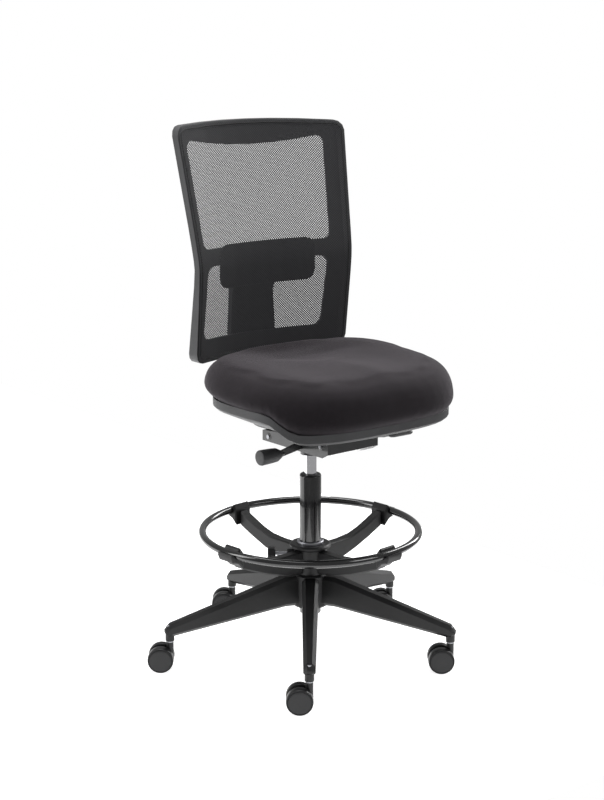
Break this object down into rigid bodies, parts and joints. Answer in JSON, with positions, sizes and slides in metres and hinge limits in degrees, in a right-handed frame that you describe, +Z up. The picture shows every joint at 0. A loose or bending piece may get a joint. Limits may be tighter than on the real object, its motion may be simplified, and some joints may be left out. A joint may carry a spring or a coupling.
{
  "type": "drafting chair",
  "caption": "Armless swivel drafting chair: mesh back on a steel bar, padded seat, tall gas column with a foot ring, star base on twin-wheel casters.",
  "frame": {"origin": "on the floor under the middle of the chair's footprint", "axes": "+Z up; the chair faces -Y, so the sitter's left is +X"},
  "size_m": [0.7172, 0.6968, 1.239],
  "materials": {
    "nylon": "satin moulded nylon",
    "caster_nylon": "satin moulded nylon",
    "caster_wheel": "nylon wheel with a polished tread",
    "grey_plastic": "fine moulded texture",
    "column_paint": "gloss black powder coat",
    "black_steel": "satin black powder coat",
    "chrome": "polished",
    "zinc": "bright zinc plate",
    "seat_fabric": "woven wool-look upholstery",
    "back_mesh": "stretched knitted mesh",
    "plywood": "bare plywood"
  },
  "bodies": {
    "base": {"star_base": "nylon", "column_tube": "column_paint", "column_bush": "nylon", "thrust_bearing": "zinc"},
    "caster_1": {"caster_1_stem": "zinc", "caster_1_fork": "caster_nylon", "caster_1_axle": "zinc"},
    "caster_1_left": {"caster_1_wheel_left": "caster_wheel"},
    "caster_1_right": {"caster_1_wheel_right": "caster_wheel"},
    "caster_2": {"caster_2_stem": "zinc", "caster_2_fork": "caster_nylon", "caster_2_axle": "zinc"},
    "caster_2_left": {"caster_2_wheel_left": "caster_wheel"},
    "caster_2_right": {"caster_2_wheel_right": "caster_wheel"},
    "caster_3": {"caster_3_stem": "zinc", "caster_3_fork": "caster_nylon", "caster_3_axle": "zinc"},
    "caster_3_left": {"caster_3_wheel_left": "caster_wheel"},
    "caster_3_right": {"caster_3_wheel_right": "caster_wheel"},
    "caster_4": {"caster_4_stem": "zinc", "caster_4_fork": "caster_nylon", "caster_4_axle": "zinc"},
    "caster_4_left": {"caster_4_wheel_left": "caster_wheel"},
    "caster_4_right": {"caster_4_wheel_right": "caster_wheel"},
    "caster_5": {"caster_5_stem": "zinc", "caster_5_fork": "caster_nylon", "caster_5_axle": "zinc"},
    "caster_5_left": {"caster_5_wheel_left": "caster_wheel"},
    "caster_5_right": {"caster_5_wheel_right": "caster_wheel"},
    "spindle": {"piston_rod": "zinc", "retaining_clip": "zinc"},
    "lift": {"gas_cylinder": "chrome", "mechanism_housing": "black_steel", "seat_pivot_pin": "zinc", "back_pivot_pin": "zinc", "height_lever_pin": "zinc", "tilt_spring": "zinc"},
    "release_button": {"release_button": "zinc"},
    "height_lever": {"height_lever": "black_steel", "height_lever_handle": "grey_plastic"},
    "tilt_lever": {"tilt_lever": "black_steel", "tilt_lever_paddle": "grey_plastic"},
    "seat": {"seat_plate": "black_steel", "seat_shell": "grey_plastic", "seat_board": "plywood", "seat_cushion": "seat_fabric"},
    "back_arm": {"back_bar": "black_steel"},
    "back": {"back_frame": "grey_plastic", "back_carrier": "nylon", "back_mesh": "back_mesh"},
    "lumbar": {"lumbar_pad": "nylon"},
    "footring_slide": {"footring_collet": "zinc"},
    "footring": {"footring_spider": "nylon", "foot_ring": "column_paint", "footring_clip_1": "nylon", "footring_clip_2": "nylon", "footring_clip_3": "nylon", "footring_clip_4": "nylon"},
    "footring_knob": {"footring_knob": "nylon", "footring_knob_stud": "zinc"}
  },
  "joints": [
    {"name": "caster_1_swivel", "type": "hinge", "parent": "base", "child": "caster_1", "pos_m": [-0.20505, -0.30018, 0.03], "axis": [0, 0, 1], "continuous": true},
    {"name": "caster_1_roll_left", "type": "hinge", "parent": "caster_1", "child": "caster_1_left", "pos_m": [-0.22137, -0.28696, 0.03], "axis": [0.6293, 0.7771, 0], "continuous": true},
    {"name": "caster_1_roll_right", "type": "hinge", "parent": "caster_1", "child": "caster_1_right", "pos_m": [-0.22137, -0.28696, 0.03], "axis": [0.6293, 0.7771, 0], "continuous": true},
    {"name": "caster_2_swivel", "type": "hinge", "parent": "base", "child": "caster_2", "pos_m": [0.19155, -0.32443, 0.03], "axis": [0, 0, 1], "continuous": true},
    {"name": "caster_2_roll_left", "type": "hinge", "parent": "caster_2", "child": "caster_2_left", "pos_m": [0.17523, -0.31122, 0.03], "axis": [0.6293, 0.7771, 0], "continuous": true},
    {"name": "caster_2_roll_right", "type": "hinge", "parent": "caster_2", "child": "caster_2_right", "pos_m": [0.17523, -0.31122, 0.03], "axis": [0.6293, 0.7771, 0], "continuous": true},
    {"name": "caster_3_swivel", "type": "hinge", "parent": "base", "child": "caster_3", "pos_m": [0.33718, 0.04526, 0.03], "axis": [0, 0, 1], "continuous": true},
    {"name": "caster_3_roll_left", "type": "hinge", "parent": "caster_3", "child": "caster_3_left", "pos_m": [0.32086, 0.05848, 0.03], "axis": [0.6293, 0.7771, 0], "continuous": true},
    {"name": "caster_3_roll_right", "type": "hinge", "parent": "caster_3", "child": "caster_3_right", "pos_m": [0.32086, 0.05848, 0.03], "axis": [0.6293, 0.7771, 0], "continuous": true},
    {"name": "caster_4_swivel", "type": "hinge", "parent": "base", "child": "caster_4", "pos_m": [0.03058, 0.298, 0.03], "axis": [0, 0, 1], "continuous": true},
    {"name": "caster_4_roll_left", "type": "hinge", "parent": "caster_4", "child": "caster_4_left", "pos_m": [0.01426, 0.31122, 0.03], "axis": [0.6293, 0.7771, 0], "continuous": true},
    {"name": "caster_4_roll_right", "type": "hinge", "parent": "caster_4", "child": "caster_4_right", "pos_m": [0.01426, 0.31122, 0.03], "axis": [0.6293, 0.7771, 0], "continuous": true},
    {"name": "caster_5_swivel", "type": "hinge", "parent": "base", "child": "caster_5", "pos_m": [-0.30454, 0.08451, 0.03], "axis": [0, 0, 1], "continuous": true},
    {"name": "caster_5_roll_left", "type": "hinge", "parent": "caster_5", "child": "caster_5_left", "pos_m": [-0.32086, 0.09773, 0.03], "axis": [0.6293, 0.7771, 0], "continuous": true},
    {"name": "caster_5_roll_right", "type": "hinge", "parent": "caster_5", "child": "caster_5_right", "pos_m": [-0.32086, 0.09773, 0.03], "axis": [0.6293, 0.7771, 0], "continuous": true},
    {"name": "seat_swivel", "type": "hinge", "parent": "base", "child": "spindle", "pos_m": [0.00994, -0.03937, 0.0975], "axis": [0, 0, 1], "continuous": true},
    {"name": "seat_height", "type": "slide", "parent": "spindle", "child": "lift", "axis": [0, 0, 1], "range_m": [-0.03, 0.185]},
    {"name": "button_press", "type": "slide", "parent": "lift", "child": "release_button", "axis": [0, 0, -1], "range_m": [0, 0.0044]},
    {"name": "height_lever_lift", "type": "hinge", "parent": "lift", "child": "height_lever", "pos_m": [-0.03506, -0.09437, 0.5415], "axis": [0, 1, 0], "range_deg": [0, 5.5], "stiffness_Nm_per_rad": 1, "springref_deg": -17.19},
    {"name": "tilt_lever_turn", "type": "hinge", "parent": "lift", "child": "tilt_lever", "pos_m": [0.00994, -0.09437, 0.5285], "axis": [1, 0, 0], "range_deg": [0, 25]},
    {"name": "back_recline", "type": "hinge", "parent": "lift", "child": "back_arm", "pos_m": [0.00994, 0.02263, 0.527], "axis": [-1, 0, 0], "range_deg": [0, 18], "stiffness_Nm_per_rad": 60, "springref_deg": -20.05},
    {"name": "seat_tilt", "type": "hinge", "parent": "lift", "child": "seat", "pos_m": [0.00994, -0.16437, 0.54], "axis": [-1, 0, 0], "range_deg": [0, 6]},
    {"name": "back_height", "type": "slide", "parent": "back_arm", "child": "back", "axis": [0, 0, 1], "range_m": [0, 0.06]},
    {"name": "lumbar_slide", "type": "slide", "parent": "back", "child": "lumbar", "axis": [0, 0, 1], "range_m": [-0.02, 0.012]},
    {"name": "footring_height", "type": "slide", "parent": "base", "child": "footring_slide", "axis": [0, 0, 1], "range_m": [0, 0.12]},
    {"name": "footring_turn", "type": "hinge", "parent": "footring_slide", "child": "footring", "pos_m": [0.00994, -0.03937, 0.304], "axis": [0, 0, 1], "continuous": true},
    {"name": "footring_knob_turn", "type": "hinge", "parent": "footring", "child": "footring_knob", "pos_m": [-0.05989, 0.0182, 0.247], "axis": [-0.7716, 0.6361, 0], "range_deg": [0, 360]}
  ],
  "couplings": [
    {"joint": "button_press", "follows": "height_lever_lift", "m_per_rad": 0.045},
    {"joint": "seat_tilt", "follows": "back_recline", "ratio": 0.3333}
  ]
}
